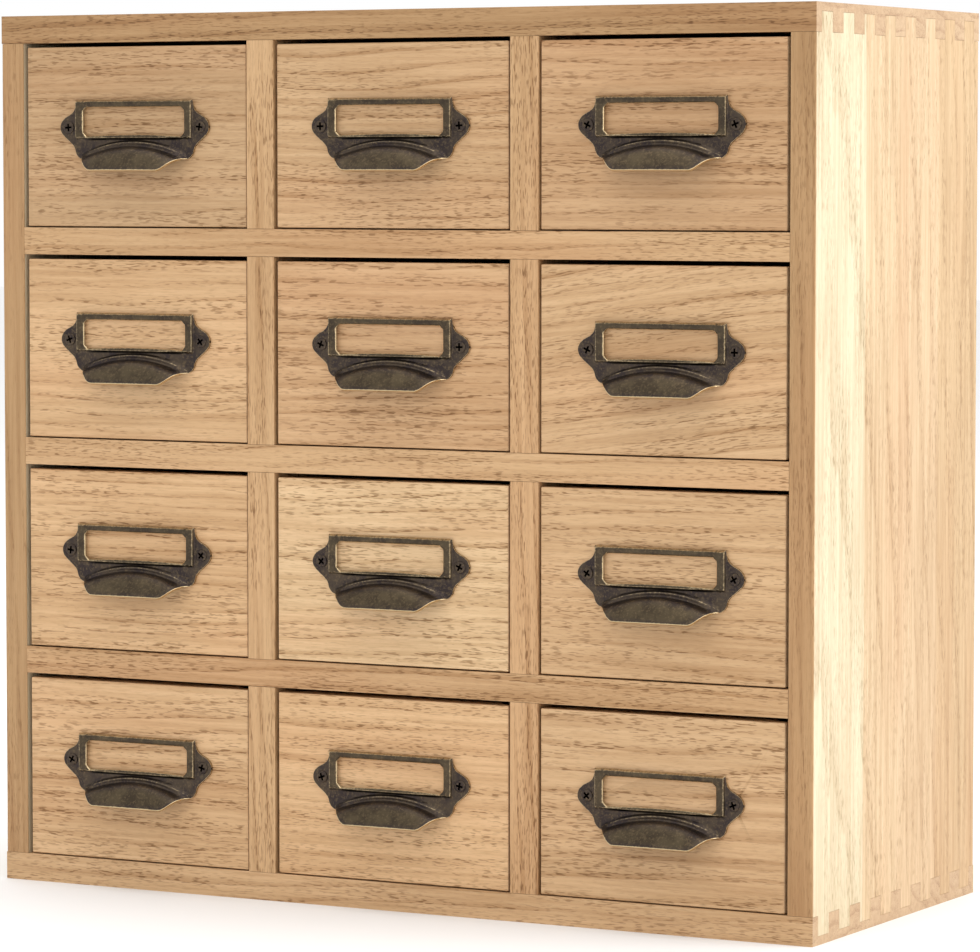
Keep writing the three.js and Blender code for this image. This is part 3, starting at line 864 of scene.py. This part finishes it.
def pull_mesh():
    """The pull as one stamped sheet, in metres from the middle of its screw line."""
    work = bmesh.new()
    wear_shade_layer = work.verts.layers.float.new("wear_and_shade")
    faced = work.verts.layers.float.new("face")
    columns = []
    for x in stations():
        lines = levels(x)
        heights = [lines[0]]
        for (low, high), count in zip(zip(lines, lines[1:]), ROWS_BETWEEN):
            heights += [lerp(low, high, (index + 1) / count) for index in range(count)]
        column = []
        for z in heights:
            vertex = work.verts.new((x * MM, -outer_height(x, z) * MM, z * MM))
            vertex[wear_shade_layer] = wear_and_shade_at(x, z)
            vertex[faced] = face_at(x, z)
            column.append(vertex)
        columns.append((x, column))
    window_start = sum(ROWS_BETWEEN[:4])
    window_end = window_start + ROWS_BETWEEN[4]
    for (x0, left), (x1, right) in zip(columns, columns[1:]):
        hollow = abs(x0 + x1) / 2 < WINDOW_HALF
        for row in range(len(left) - 1):
            if hollow and window_start <= row < window_end:
                continue
            work.faces.new((left[row], right[row], right[row + 1], left[row + 1]))
    loose = [v for v in work.verts if not v.link_faces]
    bmesh.ops.delete(work, geom=loose, context="VERTS")
    mesh = bpy.data.meshes.new("pull_sheet")
    work.to_mesh(mesh)
    work.free()
    for face in mesh.polygons:
        face.use_smooth = True
    return mesh


def thickened(mesh):
    """The sheet given its thickness and softened rims."""
    holder = bpy.data.objects.new("holder", mesh)
    bpy.context.scene.collection.objects.link(holder)
    solid = holder.modifiers.new("thickness", "SOLIDIFY")
    solid.thickness = SHEET * MM
    solid.offset = -1
    solid.use_even_offset = False
    rim = holder.modifiers.new("rim", "BEVEL")
    rim.width = 0.22 * MM
    rim.segments = 2
    rim.limit_method = "ANGLE"
    rim.angle_limit = math.radians(50)
    graph = bpy.context.evaluated_depsgraph_get()
    made = bpy.data.meshes.new_from_object(holder.evaluated_get(graph), depsgraph=graph)
    bpy.data.objects.remove(holder)
    return made


def cross_outline(reach, half):
    return [
        (half, reach), (half, half), (reach, half), (reach, -half), (half, -half), (half, -reach),
        (-half, -reach), (-half, -half), (-reach, -half), (-reach, half), (-half, half), (-half, reach),
    ]


def ring_points(radius):
    turns = [2 * math.pi * index / HEAD_SIDES for index in range(HEAD_SIDES)]
    return [(radius * math.cos(turn), radius * math.sin(turn)) for turn in turns]


def loop_of(work, points, height, turn=0.0):
    spin = Matrix.Rotation(turn, 2)
    turned = [spin @ Vector(point) for point in points]
    return [work.verts.new((point.x * MM, -height * MM, point.y * MM)) for point in turned]


def bridge(work, lower, upper):
    count = len(lower)
    for index in range(count):
        after = (index + 1) % count
        work.faces.new((lower[index], lower[after], upper[after], upper[index]))


def screw_mesh(turn):
    """A countersunk head with a cross recess, in metres from the middle of the pull's back."""
    work = bmesh.new()
    wear_shade_layer = work.verts.layers.float.new("wear_and_shade")
    seat = loop_of(work, ring_points(HEAD_RADIUS * 0.8), HEAD_SEAT - HEAD_SUNK)
    rim = loop_of(work, ring_points(HEAD_RADIUS), HEAD_SEAT + HEAD_RIM)
    edge = loop_of(work, ring_points(HEAD_RADIUS * 0.94), HEAD_RISE - HEAD_ROUND)
    crown = loop_of(work, ring_points(HEAD_RADIUS * 0.8), HEAD_RISE)
    slot = loop_of(work, cross_outline(CROSS_REACH, CROSS_HALF), HEAD_RISE + CROSS_BURR, turn)
    throat = loop_of(work, cross_outline(CROSS_REACH, CROSS_HALF), HEAD_RISE, turn)
    tapered = cross_outline(CROSS_REACH * 0.55, CROSS_HALF * 0.7)
    floor = loop_of(work, tapered, HEAD_RISE - CROSS_DEPTH, turn)
    for lower, upper in ((seat, rim), (rim, edge), (edge, crown), (floor, throat), (throat, slot)):
        bridge(work, lower, upper)
    work.faces.new(floor)
    work.faces.new(list(reversed(seat)))
    ring_edges = [work.edges.get(pair) for pair in zip(crown, crown[1:] + crown[:1])]
    slot_edges = [work.edges.get(pair) for pair in zip(slot, slot[1:] + slot[:1])]
    bmesh.ops.triangle_fill(work, use_beauty=True, edges=ring_edges + slot_edges)
    # Painted shade: the cross recess's walls and floor get the darkest value.
    for vertex in throat + floor:
        vertex[wear_shade_layer] = -1.0
    return finish_mesh(work, "screw")


def fit_pulls():
    sheet = thickened(pull_mesh())
    for number, place in enumerate(PLACES):
        low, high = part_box(f"drawer_front_{place}")
        middle = Vector(((low.x + high.x) / 2, low.y, (low.z + high.z) / 2 + PULL_RAISE * MM))
        mesh = sheet.copy()
        mesh.transform(Matrix.Translation(middle))
        body = f"drawer_{place}"
        metal = BRASS[number % len(BRASS)]
        add_piece(f"stamped_pull_{place}", mesh, body, "antique_brass", metal, f"pull_{place}")
        for hand in HANDS:
            turn = random.Random(f"{place}{hand}").uniform(0, math.pi / 2)
            head = screw_mesh(turn)
            head.transform(Matrix.Translation(middle + Vector((hand * LUG_CENTRE * MM, 0, 0))))
            side = "right" if hand > 0 else "left"
            add_piece(f"pull_screw_{place}_{side}", head, body, "antique_brass", SCREW_BRASS)


def dress_drawer_bottoms():
    for place in PLACES:
        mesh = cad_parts[f"drawer_bottom_{place}"].data
        mesh.materials.clear()
        mesh.materials.append(BOTTOM_PLY)


# Colours and materials, one wood to a board

TAN = (0.600, 0.385, 0.205)
PINK_TAN = (0.580, 0.360, 0.190)
CREAM = (0.680, 0.470, 0.265)
RAIL = (0.575, 0.360, 0.185)
POST = (0.570, 0.355, 0.180)
EDGE = (0.430, 0.255, 0.118)
CASE_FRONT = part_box("right_side")[0].y
# Side staves, each darker than the one before it towards the back; all are paler and lighter than the
# fronts' wood, as a painted highlight of the strong side light.
STAVES = (
    (CASE_FRONT + 0.5 * MM, (0.640, 0.535, 0.365)),
    (CASE_FRONT + 50 * MM, (0.600, 0.440, 0.272)),
    (CASE_FRONT + 85 * MM, (0.575, 0.410, 0.250)),
    (CASE_FRONT + 127 * MM, (0.535, 0.372, 0.212)),
)
CASE_WOODS = {
    "top_board": wood("wood_top_board", "x", 100, EDGE),
    "bottom_board": wood("wood_bottom_board", "x", 101, TAN),
    "left_side": wood("wood_left_side", "z", 102, EDGE, staves=STAVES, pores=0.5, lines=0.35),
    "right_side": wood("wood_right_side", "z", 103, EDGE, staves=STAVES, pores=0.5, lines=0.35),
    "shelf_1": wood("wood_shelf_1", "x", 104, RAIL),
    "shelf_2": wood("wood_shelf_2", "x", 105, RAIL),
    "shelf_3": wood("wood_shelf_3", "x", 106, RAIL),
    "divider_1": wood("wood_divider_1", "z", 107, POST),
    "divider_2": wood("wood_divider_2", "z", 108, POST),
}
# Per front: base colour, a lightness factor and wood traits. The lightness factor is partly the wood's own
# tone and partly painted shade that darkens the top row.
FRONT_HABITS = {
    "r1c1": (TAN, 0.88, {"lines": 0.45}),
    "r1c2": (TAN, 0.96, {"lines": 0.7}),
    "r1c3": (PINK_TAN, 0.97, {"lines": 0.4}),
    "r2c1": (TAN, 1.06, {"lines": 0.4}),
    "r2c2": (PINK_TAN, 1.03, {"lines": 0.5, "blush": 0.2}),
    "r2c3": (TAN, 1.0, {"lines": 0.7, "tilt": 0.12}),
    "r3c1": (TAN, 1.09, {"lines": 0.5, "spacing": 5 * MM}),
    "r3c2": (CREAM, 1.03, {"lines": 0.5}),
    "r3c3": (TAN, 1.0, {"lines": 0.4, "patches": 0.5, "blush": 0.15}),
    "r4c1": (TAN, 1.05, {"lines": 0.5}),
    "r4c2": (TAN, 1.12, {"lines": 0.5}),
    "r4c3": (TAN, 0.98, {"lines": 0.6, "spacing": 9 * MM, "blush": 0.1}),
}
FRONT_WOODS = {
    place: wood(f"wood_front_{place}", "x", 200 + index, tuple(tone_and_shade * c for c in colour), **habit)
    for index, (place, (colour, tone_and_shade, habit)) in enumerate(FRONT_HABITS.items())
}
BOX_WOODS = {axis: wood(f"wood_box_{axis}", axis, 300, CREAM, pores=0.4) for axis in ("x", "y")}
BOTTOM_PLY = plywood("plywood_bottom", "z", 0.6 * MM, 400)
BACK_PLY = plywood("plywood_back", "y", 0.8 * MM, 401)
BRASS = [brass(f"antique_brass_{index + 1}", index) for index in range(3)]
SCREW_BRASS = brass("screw_metal", 9)
STEEL = steel("brad_steel")

# The cabinet, its floor and its light

case_boards()
drawer_fronts()
box_boards()
box_brads()
back_panel()
dress_drawer_bottoms()
fit_pulls()
lay_floor()
light_scene()
place_camera()
